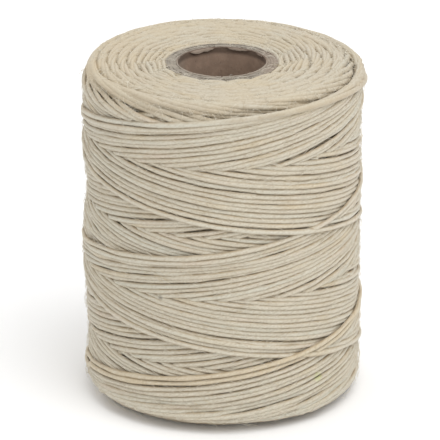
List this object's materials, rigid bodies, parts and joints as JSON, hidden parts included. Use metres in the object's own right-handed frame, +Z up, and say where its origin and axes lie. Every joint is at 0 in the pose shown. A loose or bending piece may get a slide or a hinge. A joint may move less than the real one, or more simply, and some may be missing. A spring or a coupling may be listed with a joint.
{
  "type": "thread spool",
  "caption": "Paper tube with waxed linen thread cross-wound on it into a round-shouldered cylinder, bore open from end to end",
  "frame": {"origin": "centre of the base, on the axis of the bore", "axes": "+Z up along the bore, from the end the spool stands on to the other; +X to the right and -Y to the front"},
  "size_m": [0.057, 0.057, 0.0708],
  "materials": {
    "waxed_linen": "waxed twisted linen, satin",
    "core_board": "grey-brown board, matte",
    "liner_paper": "brown kraft paper, matte"
  },
  "bodies": {
    "root": {"core_inner_liner": "liner_paper", "core_board_ply_1": "core_board", "core_board_ply_2": "core_board", "core_board_ply_3": "core_board", "core_outer_liner": "core_board", "thread_first_cover": "waxed_linen", "thread_inner_winding": "waxed_linen", "thread_outer_winding": "waxed_linen", "thread_last_cover": "waxed_linen", "thread_tucked_end": "waxed_linen"}
  },
  "joints": []
}
